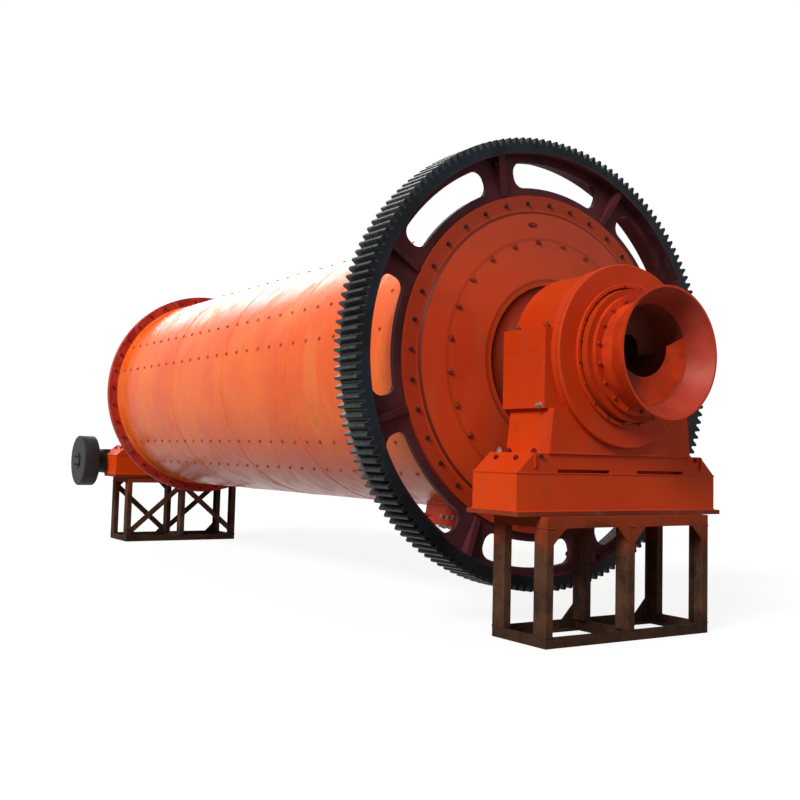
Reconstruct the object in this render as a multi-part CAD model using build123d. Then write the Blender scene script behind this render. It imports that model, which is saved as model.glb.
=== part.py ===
# Ball mill on two stands: a drum that turns in two trunnion bearings, with its girth gear.
# Millimetres, +Z up. X runs along the drum from the feed end (-X) to the discharge end (+X).
# The origin is on the ground, midway between the two trumpet mouths, under the drum's axis.
import os
from math import atan2, cos, degrees, pi, radians, sin, tan

from build123d import *

# Drum
shell_radius = 1100
shell_wall = 30
course_lengths = [1774, 1330, 1330, 1944]
flange_radius = shell_radius + 132
feed_flange_radius = shell_radius + 105
shell_flange_thickness = 50
head_flange_thickness = 26

# Journals and the liners in them
journal_radius = 440
journal_wall = 97
liner_wall = 15
liner_bore = journal_radius - journal_wall - liner_wall
journal_end_past_cover = 47
trunnion_flange_radius = journal_radius + 120
trunnion_fillet = 90
discharge_reach = 573
feed_reach = 740
running_clearance = 0.05
free_clearance = 10

# Heads, as heights above the head's inner plane
head_groove_radius = shell_radius + 12
head_groove_step = 12
head_bolt_radius = shell_radius - 215
head_bolt_height = 70
head_lip_radius = trunnion_flange_radius + 33
head_lip_height = 112
head_plate = 70

# Trumpets and spiral flights
trumpet_flange_radius = journal_radius - 42
trumpet_flange_thickness = 30
trumpet_mouth_radius = liner_bore + 102
tube_clearance = 4
bearing_to_mouth = 644
flare_length = 167
flight_inner_radius = liner_bore - 183
flight_plate = 12
flight_pitch = 260
flight_start_angle = 24
flight_gap = 0.3

# Girth gear
gear_module = 20
gear_teeth = 2 * round((shell_radius + 520) / gear_module)
gear_pitch_radius = gear_module * gear_teeth / 2
gear_width = 290
gear_front_past_head_flange = 70
pressure_angle = 20
rim_inner_radius = gear_pitch_radius - 90
web_thickness = 40
slot_count = 8
slot_inner_radius = flange_radius + 60
slot_outer_radius = rim_inner_radius - 52
slot_half_angle = 17
slot_corner = 80
slot_first_angle = 40.5
gear_joint_angle = slot_first_angle + 1.5 * 360 / slot_count
rib_thickness = 45
rib_foot_radius = flange_radius + 12
rib_foot_height = 15
rib_setback = 16
rib_root = 2
joint_flange_thickness = 28

# Manhole on the shell
manhole_from_gear = 660
manhole_angle = 262
manhole_length = 400
manhole_width = 320
manhole_neck_height = 130
manhole_flange_margin = 50
manhole_flange_thickness = 26
manhole_cover_thickness = 24

# Base under each bearing. A plate's margins are how far it stands past the box, along X and Y.
base_length = 448
base_width = 1794
base_height = 237
discharge_plate_margins = (38, 18)
feed_plate_margins = (0, 0)
base_plate_thickness = 30
sole_height = 128
sole_top_width = base_width - 274
sole_slit_height = 24
sole_slit_depth = 60
sole_slits = [(-560, -110), (138, 583)]

# Bearing housing. Backs and fronts are distances outward from the bearing's centre.
bush_radius = journal_radius + 40
cap_radius = bush_radius + 95
cap_collar_radius = cap_radius + 23
front_ring_radius = cap_collar_radius + 13
back_ring_radius = cap_radius - 25
seal_cover_radius = journal_radius + 38
housing_width = 2 * (cap_collar_radius + 52)
pedestal_foot_width = housing_width - 20
pedestal_waist_width = housing_width - 80
bearing_height = 655
block_below_axis = 370
block_above_axis = 150
pedestal_back = -200
block_back = -236
block_front = 184
cap_collar_start = 125
housing_front = 232
front_ring_length = 45
back_ring_length = 40
seal_cover_thickness = 24

# Stands: channel columns between two frames of angle bar
stand_height = 800
stand_half_width = base_width / 2 - 172
stand_inner_offset = 210
discharge_stand_depth = 530
feed_stand_depth = 620
column_depth = 120
column_flange = 55
column_thickness = 8
frame_height = 70
frame_leg = 80
frame_thickness = 10
gusset_size = 100
gusset_thickness = 8
brace_width = 66
brace_thickness = 10
brace_lap = 30

# Wheel behind the feed base
wheel_radius = 312
wheel_width = 195
wheel_bevel = 12
wheel_past_base = 120
wheel_inner_side = base_width / 2 + wheel_past_base
wheel_above_plate = 158
wheel_axis_back = 330
boss_root_radius = 150
boss_end_radius = 105
saddle_length = 190
axle_radius = 60
axle_clearance = 0.05
axle_end_plate_radius = 95
axle_end_plate = 14
wheel_side_gap = 0.3

# Stations along X
shell_length = sum(course_lengths)
overall_length = (
    bearing_to_mouth * 2 + discharge_reach + feed_reach
    + head_flange_thickness * 2 + web_thickness + shell_length
)
discharge_bearing_x = overall_length / 2 - bearing_to_mouth
feed_bearing_x = -overall_length / 2 + bearing_to_mouth
discharge_flange_face = discharge_bearing_x - discharge_reach
discharge_head_x = discharge_flange_face - head_flange_thickness
discharge_shell_end = discharge_head_x - web_thickness
feed_shell_end = discharge_shell_end - shell_length
gear_front_x = discharge_flange_face + gear_front_past_head_flange

# Heights
base_bottom = stand_height + base_plate_thickness
sole_bottom = base_bottom + base_height
sole_top = sole_bottom + sole_height
axis_height = sole_top + bearing_height
wheel_height = base_bottom + wheel_above_plate
block_bottom = axis_height - block_below_axis


def axis_frame(x, outward):
    """Plane on the drum's axis at x, whose X direction points outward along the drum."""
    return Plane(origin=(x, 0, axis_height), x_dir=(outward, 0, 0), z_dir=(0, -outward, 0))


def turned(x, outward, points):
    """Solid of revolution about the drum's axis. Points are (distance outward from x, radius)."""
    profile = make_face(Polyline(*points, close=True))
    return axis_frame(x, outward) * revolve(profile, Axis.X)


def ring(x, outward, start, end, outer, inner):
    return turned(x, outward, [(start, inner), (end, inner), (end, outer), (start, outer)])


def slab(x0, x1, y0, y1, z0, z1):
    return Pos((x0 + x1) / 2, (y0 + y1) / 2, (z0 + z1) / 2) * Box(abs(x1 - x0), y1 - y0, z1 - z0)


def outward_slab(x, outward, start, end, y0, y1, z0, z1):
    ends = sorted((x + outward * start, x + outward * end))
    return slab(ends[0], ends[1], y0, y1, z0, z1)


def shell_course(start, length):
    return ring(start, 1, 0, length, shell_radius, shell_radius - shell_wall)


def head(x, outward, rim_radius):
    """Dished end casting: rim flange, groove, shallow cone and the lip around the trunnion."""
    inner_cone = head_lip_height - head_plate
    return turned(x, outward, [
        (0, rim_radius),
        (head_flange_thickness, rim_radius),
        (head_flange_thickness, head_groove_radius),
        (head_flange_thickness + head_groove_step, head_groove_radius - head_groove_step),
        (head_bolt_height, head_bolt_radius),
        (head_lip_height, head_lip_radius),
        (head_lip_height, trunnion_flange_radius),
        (inner_cone, trunnion_flange_radius),
        (0, shell_radius - shell_wall),
    ])


def trunnion(x, outward, reach):
    """Hollow journal. Its root sits in the head's bore and its end stands past the seal cover."""
    root_inner = head_lip_height - head_plate
    centre = head_flange_thickness + reach
    journal_end = centre + housing_front + front_ring_length
    journal_end += seal_cover_thickness + journal_end_past_cover
    root_end = head_lip_height - head_groove_step
    liner_radius = liner_bore + liner_wall
    profile = make_face(Polyline(
        (root_inner, liner_radius),
        (journal_end, liner_radius),
        (journal_end, journal_radius),
        (root_end, journal_radius),
        (root_end, trunnion_flange_radius),
        (root_inner, trunnion_flange_radius),
        close=True,
    ))
    corner = profile.vertices().sort_by_distance((root_end, journal_radius, 0))[0]
    profile = fillet(corner, trunnion_fillet)
    return axis_frame(x, outward) * revolve(profile, Axis.X)


def trumpet(x, outward, reach):
    """Liner tube through the trunnion, bolting flange on the journal's end, and flared mouth."""
    centre = head_flange_thickness + reach
    inner_end = head_lip_height - head_plate
    flange_at = centre + housing_front + front_ring_length
    flange_at += seal_cover_thickness + journal_end_past_cover
    flange_end = flange_at + trumpet_flange_thickness
    mouth = centre + bearing_to_mouth
    flare = mouth - flare_length
    outside = liner_bore + liner_wall
    return turned(x, outward, [
        (inner_end, liner_bore),
        (flare, liner_bore),
        (mouth, trumpet_mouth_radius - liner_wall),
        (mouth, trumpet_mouth_radius),
        (flare - liner_wall, outside + tube_clearance),
        (flange_end, outside + tube_clearance),
        (flange_end, trumpet_flange_radius),
        (flange_at, trumpet_flange_radius),
        (flange_at, outside),
        (inner_end, outside),
    ])


def spiral_flight(x, outward, reach):
    """One turn of helical plate in the liner. It starts where the bore opens into the flare."""
    start = x + outward * (head_flange_thickness + reach + bearing_to_mouth - flare_length)
    spread = 360 * flight_plate / flight_pitch
    outer = CenterArc((0, 0), liner_bore - flight_gap, flight_start_angle - spread, spread)
    inner = CenterArc((0, 0), flight_inner_radius, flight_start_angle - spread, spread)
    section = make_face([outer, inner, Line(outer @ 0, inner @ 0), Line(outer @ 1, inner @ 1)])
    placed = Plane(origin=(start, 0, axis_height), x_dir=(0, 1, 0), z_dir=(1, 0, 0)) * section
    return Solid.extrude_linear_with_rotation(
        placed.face(),
        center=(start, 0, axis_height),
        normal=(-outward * flight_pitch, 0, 0),
        angle=360,
    )


def kidney(middle_angle):
    """Kidney-shaped slot of the gear's web, with rounded corners."""
    first = middle_angle - slot_half_angle
    inner = CenterArc((0, 0), slot_inner_radius, first, 2 * slot_half_angle)
    outer = CenterArc((0, 0), slot_outer_radius, first, 2 * slot_half_angle)
    sides = [Line(inner @ 0, outer @ 0), Line(inner @ 1, outer @ 1)]
    face = make_face([inner, outer] + sides)
    return fillet(face.vertices(), slot_corner)


def toothed_outline():
    """Outline of the gear: straight-flanked teeth with a gap centred on the joint's angle."""
    root_radius = gear_pitch_radius - 1.25 * gear_module
    tip_radius = gear_pitch_radius + gear_module
    flank = tan(radians(pressure_angle))
    half_pitch_thickness = pi * gear_module / 4
    root_half = (half_pitch_thickness + 1.25 * gear_module * flank) / root_radius
    tip_half = (half_pitch_thickness - gear_module * flank) / tip_radius
    corners = [(root_radius, -root_half), (tip_radius, -tip_half)]
    corners += [(tip_radius, tip_half), (root_radius, root_half)]
    pitch = 2 * pi / gear_teeth
    first = radians(gear_joint_angle) + pitch / 2
    points = []
    for tooth in range(gear_teeth):
        for radius, offset in corners:
            angle = first + tooth * pitch + offset
            points.append((radius * cos(angle), radius * sin(angle)))
    return make_face(Polyline(*points, close=True))


def web_rib(angle, thickness):
    """Radial rib on both sides of the web. It is low at the hub and rises toward the rim."""
    outer = rim_inner_radius + rib_root
    web_front = -gear_front_past_head_flange - head_flange_thickness
    web_back = web_front - web_thickness
    outline = make_face(Polyline(
        (rib_foot_radius, web_front + rib_foot_height),
        (outer, -rib_setback),
        (outer, rib_setback - gear_width),
        (rib_foot_radius, web_back - rib_foot_height),
        close=True,
    ))
    return Rot(0, 0, angle) * extrude(Plane.XZ * outline, thickness / 2, both=True)


def girth_gear():
    """Whole gear about its own axis, with its front face on the plane z = 0."""
    rim = extrude(toothed_outline() - Circle(rim_inner_radius), -gear_width)
    web_face = Circle(rim_inner_radius + rib_root) - Circle(shell_radius - shell_wall)
    for slot in range(slot_count):
        web_face -= kidney(slot_first_angle + slot * 360 / slot_count)
    web_front = gear_front_past_head_flange + head_flange_thickness
    web = Pos(0, 0, -web_front) * extrude(web_face, -web_thickness)
    gear = rim + web
    for spoke in range(slot_count):
        angle = slot_first_angle + (spoke + 0.5) * 360 / slot_count
        is_joint = abs((angle - gear_joint_angle) % 180) < 1
        thickness = 2 * joint_flange_thickness if is_joint else rib_thickness
        gear += web_rib(angle, thickness)
    return gear


def gear_halves():
    reach = gear_module * gear_teeth
    half_space = Pos(0, reach / 2, -gear_width / 2) * Box(2 * reach, reach, 2 * gear_width)
    whole = girth_gear()
    to_drum = Plane(origin=(gear_front_x, 0, axis_height), x_dir=(0, 1, 0), z_dir=(1, 0, 0))
    halves = []
    for turn in (0, 180):
        cutter = Rot(0, 0, gear_joint_angle + turn) * half_space
        halves.append(to_drum * (whole & cutter))
    return halves


def manhole():
    """Neck with a flange, cut to sit on the curved shell, and the cover bolted on it."""
    x = gear_front_x - gear_width - manhole_from_gear
    seat = Plane(origin=(x, 0, axis_height), x_dir=(1, 0, 0), z_dir=(
        0, cos(radians(manhole_angle)), sin(radians(manhole_angle)),
    ))
    top = shell_radius + manhole_neck_height
    outer_length = manhole_length + 2 * manhole_flange_margin
    outer_width = manhole_width + 2 * manhole_flange_margin
    outer = RectangleRounded(outer_length, outer_width, outer_width / 4)
    neck = extrude(RectangleRounded(manhole_length, manhole_width, manhole_width / 4), top)
    flange = Pos(0, 0, top - manhole_flange_thickness) * extrude(outer, manhole_flange_thickness)
    shell_outside = Pos(x, 0, axis_height) * Rot(0, 90, 0) * Cylinder(shell_radius, 2 * manhole_length)
    cover = Pos(0, 0, top) * extrude(outer, manhole_cover_thickness)
    return seat * (neck + flange) - shell_outside, seat * cover


def sole(x, outward):
    """Trapezoid block on the base box, with two slits along its foot on the outer side."""
    half = base_length / 2
    outline = make_face(Polyline(
        (-base_width / 2, sole_bottom),
        (base_width / 2, sole_bottom),
        (sole_top_width / 2, sole_top),
        (-sole_top_width / 2, sole_top),
        close=True,
    ))
    block = extrude(Plane(origin=(x - half, 0, 0), x_dir=(0, 1, 0), z_dir=(1, 0, 0)) * outline, base_length)
    for low, high in sole_slits:
        block -= outward_slab(
            x, outward, half - sole_slit_depth, half + 1,
            low, high, sole_bottom - 1, sole_bottom + sole_slit_height,
        )
    return block


def pedestal(x, outward):
    """Lower half of the bearing housing: a flared body, the block on it and half the collar."""
    foot, waist, side = pedestal_foot_width / 2, pedestal_waist_width / 2, housing_width / 2
    outline = make_face(Polyline(
        (-foot, sole_top), (foot, sole_top), (waist, block_bottom), (-waist, block_bottom),
        close=True,
    ))
    start = min(x + outward * pedestal_back, x + outward * housing_front)
    length = housing_front - pedestal_back
    body = extrude(Plane(origin=(start, 0, 0), x_dir=(0, 1, 0), z_dir=(1, 0, 0)) * outline, length)
    block = outward_slab(x, outward, block_back, block_front, -side, side, block_bottom, axis_height)
    collar = ring(x, outward, block_front, housing_front, cap_collar_radius, 1) & outward_slab(
        x, outward, block_front, housing_front, -side, side, sole_top, axis_height,
    )
    bore = Pos(x, 0, axis_height) * Rot(0, 90, 0) * Cylinder(bush_radius, 2 * length)
    return (body + block + collar) - bore


def bush(x, outward):
    """Lower half bush that the journal runs in."""
    inner = journal_radius + running_clearance
    sleeve = ring(x, outward, block_back, housing_front, bush_radius, inner)
    return sleeve & outward_slab(
        x, outward, block_back, housing_front,
        -bush_radius, bush_radius, axis_height - bush_radius, axis_height,
    )


def cap(x, outward):
    """Upper half of the housing: two shoulders and the domed hood with its collar."""
    side = housing_width / 2
    hood = ring(x, outward, block_back, cap_collar_start, cap_radius, 1)
    collar = ring(x, outward, cap_collar_start, housing_front, cap_collar_radius, 1)
    shoulders = outward_slab(
        x, outward, block_back, block_front,
        -side, side, axis_height, axis_height + block_above_axis,
    )
    above = outward_slab(
        x, outward, block_back, housing_front,
        -side, side, axis_height, axis_height + cap_collar_radius,
    )
    bore = Pos(x, 0, axis_height) * Rot(0, 90, 0) * Cylinder(
        journal_radius + free_clearance, 2 * (housing_front - block_back),
    )
    return ((hood + collar + shoulders) & above) - bore


def channel_section(depth, flange, thickness, toward_x, toward_y):
    """Channel with its web's corner at the origin. The web runs along X and the flanges along Y."""
    whole = Pos(toward_x * depth / 2, toward_y * flange / 2) * Rectangle(depth, flange)
    hollow = Rectangle(depth - 2 * thickness, flange - thickness)
    return whole - Pos(toward_x * depth / 2, toward_y * (flange + thickness) / 2) * hollow


def stand_spans(x, outward, depth):
    """The stand's two ends along X, and its half width along Y."""
    inner = x - outward * stand_inner_offset
    outer = inner + outward * depth
    return min(inner, outer), max(inner, outer)


def stand_columns(x, outward, depth):
    """Six channels, three along each side. Those at the stand's ends turn their webs outward."""
    low, high = stand_spans(x, outward, depth)
    columns = []
    for edge, toward_x in ((low, 1), (high, -1)):
        for y, toward_y in ((-stand_half_width, 1), (0, 1), (stand_half_width, -1)):
            shift = -column_flange / 2 if y == 0 else 0
            section = channel_section(column_depth, column_flange, column_thickness, toward_x, toward_y)
            placed = Pos(edge, y + shift, frame_height) * section
            columns.append(extrude(placed, stand_height - 2 * frame_height))
    return Compound(children=columns)


def stand_frame(x, outward, depth, bottom, flat_at_bottom):
    """Rectangle of angle bar with a middle tie: upright legs outside, flat legs turned inward."""
    low, high = stand_spans(x, outward, depth)
    width = 2 * stand_half_width
    centre = Pos((low + high) / 2, 0)
    outer = centre * Rectangle(high - low, width)
    upright = outer - centre * Rectangle(high - low - 2 * frame_thickness, width - 2 * frame_thickness)
    flat = outer - centre * Rectangle(high - low - 2 * frame_leg, width - 2 * frame_leg)
    flat += centre * Rectangle(high - low - frame_leg, frame_leg)
    flat_z = bottom if flat_at_bottom else bottom + frame_height - frame_thickness
    frame = Pos(0, 0, bottom) * extrude(upright, frame_height)
    frame += Pos(0, 0, flat_z) * extrude(flat, frame_thickness)
    frame += Pos((low + high) / 2, 0, bottom + frame_height / 2) * Box(
        high - low - frame_thickness, frame_thickness, frame_height,
    )
    return frame


def stand_gussets(x, outward, depth):
    """Triangular plates in the outer row's upper corners, and in two lower corners of the -X row."""
    low, high = stand_spans(x, outward, depth)
    outer = high if outward > 0 else low
    corner_y = stand_half_width - column_flange
    upper = [(-corner_y, 1), (-column_flange / 2, -1), (column_flange / 2, 1), (corner_y, -1)]
    lower = [(-column_flange / 2, -1), (corner_y, -1)]
    rows = (
        (outer, -outward, stand_height - frame_height, -1, upper),
        (low, 1, frame_height, 1, lower),
    )
    plates = []
    for edge, toward, z, up, corners in rows:
        start = edge if toward > 0 else edge - gusset_thickness
        row = Plane(origin=(start, 0, 0), x_dir=(0, 1, 0), z_dir=(1, 0, 0))
        for y, side in corners:
            triangle = make_face(Polyline(
                (y, z), (y + side * gusset_size, z), (y, z + up * gusset_size), close=True,
            ))
            plates.append(extrude(row * triangle, gusset_thickness))
    return Compound(children=plates)


def stand_braces(x, outward, depth):
    """One diagonal flat bar in each bay of both rows. It laps behind the columns' flanges."""
    low, high = stand_spans(x, outward, depth)
    height = stand_height - 2 * frame_height
    corner_y = stand_half_width - column_flange
    bays = (
        (-corner_y - brace_lap, -column_flange / 2, 1),
        (column_flange / 2 - brace_lap, corner_y + brace_lap, -1),
    )
    bars = []
    for edge, toward, mirror in ((low, 1, -1), (high, -1, 1)):
        face = edge + toward * column_thickness
        start = min(face, face + toward * brace_thickness)
        row = Plane(origin=(start, 0, 0), x_dir=(0, 1, 0), z_dir=(1, 0, 0))
        for left, right, rising in bays:
            run = right - left
            tilt = rising * mirror * degrees(atan2(height - brace_width, run))
            strip = Rot(0, 0, tilt) * Rectangle(2 * run, brace_width)
            bar = strip & Rectangle(run, height)
            placed = row * (Pos((left + right) / 2, stand_height / 2) * bar)
            bars.append(extrude(placed, brace_thickness))
    return Compound(children=bars)


def wheel_axis(y):
    """Plane across the wheel's axis at y, facing away from the base."""
    x = feed_bearing_x - wheel_axis_back
    return Plane(origin=(x, y, wheel_height), x_dir=(1, 0, 0), z_dir=(0, -1, 0))


def wheel():
    """Broad wheel with bevelled shoulders and a bore for its axle."""
    half = wheel_width / 2
    profile = make_face(Polyline(
        (-half, axle_radius + axle_clearance), (half, axle_radius + axle_clearance),
        (half, wheel_radius - wheel_bevel), (half - wheel_bevel, wheel_radius),
        (wheel_bevel - half, wheel_radius), (-half, wheel_radius - wheel_bevel),
        close=True,
    ))
    return wheel_axis(-wheel_inner_side - half) * (Rot(0, 90, 0) * revolve(profile, Axis.X))


def wheel_bracket():
    """Saddle block on the base box's back, with the coned boss, the axle and its end plate."""
    base_end = base_width / 2
    near = wheel_inner_side - wheel_side_gap
    far = wheel_inner_side + wheel_width + wheel_side_gap
    axis_x = feed_bearing_x - wheel_axis_back
    saddle = slab(
        axis_x - boss_root_radius, feed_bearing_x - base_length / 2, -base_end, saddle_length - base_end,
        wheel_height - boss_root_radius, wheel_height + boss_root_radius,
    )
    boss_foot = (Align.CENTER, Align.CENTER, Align.MIN)
    cone = Cone(boss_root_radius, boss_end_radius, near - base_end, align=boss_foot)
    boss = wheel_axis(-base_end) * cone
    axle = wheel_axis(-base_end) * extrude(Circle(axle_radius), far - base_end)
    plate = wheel_axis(-far) * extrude(Circle(axle_end_plate_radius), axle_end_plate)
    return saddle + boss + axle + plate


def save(name, shape):
    export_step(shape, os.path.join("parts", name + ".step"))


def save_end(prefix, x, outward, depth, plate_margins):
    """The standing pieces of one end, from the stand up to the bearing cap."""
    top_frame = stand_frame(x, outward, depth, stand_height - frame_height, False)
    save(prefix + "_stand_columns", stand_columns(x, outward, depth))
    save(prefix + "_stand_bottom_frame", stand_frame(x, outward, depth, 0, True))
    save(prefix + "_stand_top_frame", top_frame)
    save(prefix + "_stand_gussets", stand_gussets(x, outward, depth))
    half_length, half_width = base_length / 2, base_width / 2
    past_x, past_y = plate_margins
    plate = slab(
        x - half_length - past_x, x + half_length + past_x,
        -half_width - past_y, half_width + past_y, stand_height, base_bottom,
    )
    save(prefix + "_base_plate", plate)
    box = slab(x - half_length, x + half_length, -half_width, half_width, base_bottom, sole_bottom)
    save(prefix + "_base_box", box)
    save(prefix + "_bearing_sole", sole(x, outward))
    save(prefix + "_bearing_pedestal", pedestal(x, outward))
    save(prefix + "_bearing_bush", bush(x, outward))
    save(prefix + "_bearing_cap", cap(x, outward))
    bore = journal_radius + free_clearance
    back = block_back - back_ring_length
    front = housing_front + front_ring_length
    outside = front + seal_cover_thickness
    save(prefix + "_bearing_back_ring", ring(x, outward, back, block_back, back_ring_radius, bore))
    save(prefix + "_bearing_front_ring", ring(x, outward, housing_front, front, front_ring_radius, bore))
    save(prefix + "_seal_cover", ring(x, outward, front, outside, seal_cover_radius, bore))


def save_drum_end(prefix, x, outward, reach, rim_radius):
    """The turning pieces of one end, from the head to the trumpet's flight."""
    save(prefix + "_head", head(x, outward, rim_radius))
    save(prefix + "_trunnion", trunnion(x, outward, reach))
    save(prefix + "_trumpet", trumpet(x, outward, reach))
    save(prefix + "_spiral_flight", spiral_flight(x, outward, reach))


def save_shell_flange(prefix, x, inward, radius):
    save(prefix + "_shell_flange", ring(x, inward, 0, shell_flange_thickness, radius, shell_radius))


os.makedirs("parts", exist_ok=True)

course_start = feed_shell_end
for number, length in enumerate(course_lengths, start=1):
    save(f"shell_course_{number}", shell_course(course_start, length))
    course_start += length
save_shell_flange("feed", feed_shell_end, 1, feed_flange_radius)
save_shell_flange("discharge", discharge_shell_end, -1, flange_radius)
gear_upper, gear_lower = gear_halves()
save("girth_gear_half_1", gear_upper)
save("girth_gear_half_2", gear_lower)
save_drum_end("discharge", discharge_head_x, 1, discharge_reach, flange_radius)
save_drum_end("feed", feed_shell_end, -1, feed_reach, feed_flange_radius)
manhole_frame, manhole_cover = manhole()
save("manhole_frame", manhole_frame)
save("manhole_cover", manhole_cover)

save_end("discharge", discharge_bearing_x, 1, discharge_stand_depth, discharge_plate_margins)
save_end("feed", feed_bearing_x, -1, feed_stand_depth, feed_plate_margins)
save("feed_stand_braces", stand_braces(feed_bearing_x, -1, feed_stand_depth))
save("wheel_bracket", wheel_bracket())
save("side_wheel", wheel())
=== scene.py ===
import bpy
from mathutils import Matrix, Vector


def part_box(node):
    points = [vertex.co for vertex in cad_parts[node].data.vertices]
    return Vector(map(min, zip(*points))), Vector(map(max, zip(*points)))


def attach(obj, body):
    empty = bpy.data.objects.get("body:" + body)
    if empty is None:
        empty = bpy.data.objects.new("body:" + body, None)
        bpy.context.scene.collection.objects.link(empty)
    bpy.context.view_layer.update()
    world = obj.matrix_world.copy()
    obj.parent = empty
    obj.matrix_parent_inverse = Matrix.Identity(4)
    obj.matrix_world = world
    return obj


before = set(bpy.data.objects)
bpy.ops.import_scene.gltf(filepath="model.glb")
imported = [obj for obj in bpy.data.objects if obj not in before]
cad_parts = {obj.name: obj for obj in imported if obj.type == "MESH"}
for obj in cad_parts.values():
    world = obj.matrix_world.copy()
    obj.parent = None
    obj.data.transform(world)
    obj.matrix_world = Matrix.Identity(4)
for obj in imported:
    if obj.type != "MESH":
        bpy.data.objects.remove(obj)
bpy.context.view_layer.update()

from math import cos, pi, radians, sin, sqrt

import bpy
import numpy as np
from mathutils import Matrix, Vector

# Metres and degrees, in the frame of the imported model: +X toward the discharge end, +Z up.
# An angle round the drum counts from +Y toward +Z.
OUTWARD = {"discharge": 1, "feed": -1}
SHELL_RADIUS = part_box("shell_course_1")[1].y
AXIS_Z = sum(corner.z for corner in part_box("shell_course_1")) / 2
HALF_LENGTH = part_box("discharge_trumpet")[1].x

# Heads: the rim's thickness and the seats are measured outward from the head's inner plane
RIM_THICKNESS = 0.026
GROOVE_RADIUS = 1.106
GROOVE_EDGE = SHELL_RADIUS + 0.012
LIP_FOOT_RADIUS = 0.600
HEAD_SLOPE = radians(8.3)
RIM_BOLTS, RIM_BOLT_ANGLE = 36, 9.1
HEAD_BOLTS, HEAD_BOLT_ANGLE, HEAD_BOLT_CIRCLE = 24, 7.6, 0.885
HEAD_BOLT_SEAT = 0.070
MARK_ANGLE, MARK_CIRCLE, MARK_SEAT = 98.8, 1.010, 0.047
MARK_HALF_LENGTH, MARK_HALF_WIDTH = 0.048, 0.022

# Shell: nuts in pairs of rows, at LINER_ROW pitches from the start, and a long seam on each course
LINER_PAIRS, FIRST_PAIR_ANGLE, PAIR_HALF_SPREAD = 6, 160.9, 7.9
LINER_PITCH, LINER_START = 0.2275, 2.7655
LINER_ROW = np.arange(-25, 2)
LONG_SEAM_ANGLES = {1: 20, 2: 0, 3: 18, 4: 2}

# Trumpets and journals: the flange's face past the seal cover, where the flare ends, and where the
# painted shade on a journal ends, measured from the middle of the drum
TRUMPET_BOLTS, TRUMPET_BOLT_ANGLE, TRUMPET_BOLT_CIRCLE = 18, 12.5, 0.372
TRUMPET_FLANGE_FACE = 0.077
THROAT = HALF_LENGTH - 0.167
JOURNAL_SHADED, JOURNAL_UNSHADED = 3.70, 3.90

# Gear: bolts of its joint, each by its distance behind the front face and its radius
GEAR_JOINT_ANGLE = 108
JOINT_FLANGE = 0.028
JOINT_BOLTS = [(0.068, 1.475), (0.182, 1.36), (0.182, 1.46), (0.235, 1.46)]
WEB_RADIUS = 1.541

# Manhole: half length and half width of the rounded rectangles of its bolts and of its neck
MANHOLE_ANGLE = 262
MANHOLE_TOP = SHELL_RADIUS + 0.154
MANHOLE_FLANGES = 0.050
MANHOLE_BOLT_HALVES = (0.224, 0.184)
MANHOLE_NECK_HALVES = (0.203, 0.163)

# Bearings: bolts by their distances outward from the base box's middle, and along Y from the axis.
# The sole's ends fall SOLE_DROP over SOLE_RUN, with bolts SLOPE_BOLT_RUN from the start of the slope.
SHOULDER_ABOVE_AXIS = 0.150
CAP_STUDS = ((-0.14, 0.15), 0.612)
SOLE_STUDS = ((-0.10, 0.15), 0.70)
SLOPE_BOLTS = ((-0.10, 0.10), 0.800)
PLATED_SOLE_STUDS = ((-0.16,), 0.728)
LEDGE_STUD_X, LEDGE_STUD_Y, LEDGE_STUD_Z = 0.14, 0.650, 1.497
SOLE_DROP, SOLE_RUN, SLOPE_BOLT_RUN = 0.128, 0.137, 0.040
FRONT_BOLT_Y, FRONT_BOLT_DROP = 0.705, 0.022
LUG_THICKNESS, LUG_SIDES, LUG_DROPS = 0.012, (0.748, 0.762), (0.095, 0.006)
COVER_BOLTS, COVER_BOLT_ANGLE, COVER_BOLT_CIRCLE = 20, 9, 0.464
RING_BOLTS, RING_BOLT_ANGLE, RING_BOLT_CIRCLE = 12, 15, 0.50

# Stands and wheel: the columns' channels, the gussets, and the bolts on the axle's end plate
COLUMN_DEPTH, COLUMN_FLANGE = 0.120, 0.055
GUSSET, GUSSET_THICKNESS = 0.100, 0.008
PLATE_BOLTS, PLATE_BOLT_CIRCLE = 4, 0.068

WASHER = 0.004


def reach(node, axis, side):
    """How far a node reaches along an axis (0, 1 or 2), toward the high or the low side."""
    low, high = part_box(node)
    return high[axis] if side > 0 else low[axis]


# Surfaces worked out with numpy. A shape is (points, list of face arrays).
def tube_faces(rings, sides):
    """Faces of a tube of rings of points, with a fan at each end. The two fan centres come last."""
    here = np.arange(sides)
    following = (here + 1) % sides
    step = sides * np.arange(rings - 1)[:, None]
    walls = np.stack((step + here, step + following, step + following + sides, step + here + sides), -1)
    first = np.stack((following, here, np.full(sides, rings * sides)), -1)
    last = sides * (rings - 1)
    final = np.stack((last + here, last + following, np.full(sides, rings * sides + 1)), -1)
    return [walls.reshape(-1, 4), first, final]


def lathe(profile, sides):
    """Profile points (radius r, height h) carried round as (r cos a, r sin a, h), with closed ends."""
    profile = np.asarray(profile, float)
    angle = np.arange(sides) * 2 * pi / sides
    rings = np.empty((len(profile), sides, 3))
    rings[..., 0] = np.outer(profile[:, 0], np.cos(angle))
    rings[..., 1] = np.outer(profile[:, 0], np.sin(angle))
    rings[..., 2] = profile[:, 1:]
    centres = [(0, 0, profile[0, 1]), (0, 0, profile[-1, 1])]
    return np.concatenate((rings.reshape(-1, 3), centres)), tube_faces(len(profile), sides)


def together(*shapes):
    """Several shapes as one: the later shapes' face numbers move up by the points before them."""
    points, faces, count = [], [], 0
    for shape_points, shape_faces in shapes:
        points.append(shape_points)
        faces += [block + count for block in shape_faces]
        count += len(shape_points)
    return np.concatenate(points), faces


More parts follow.
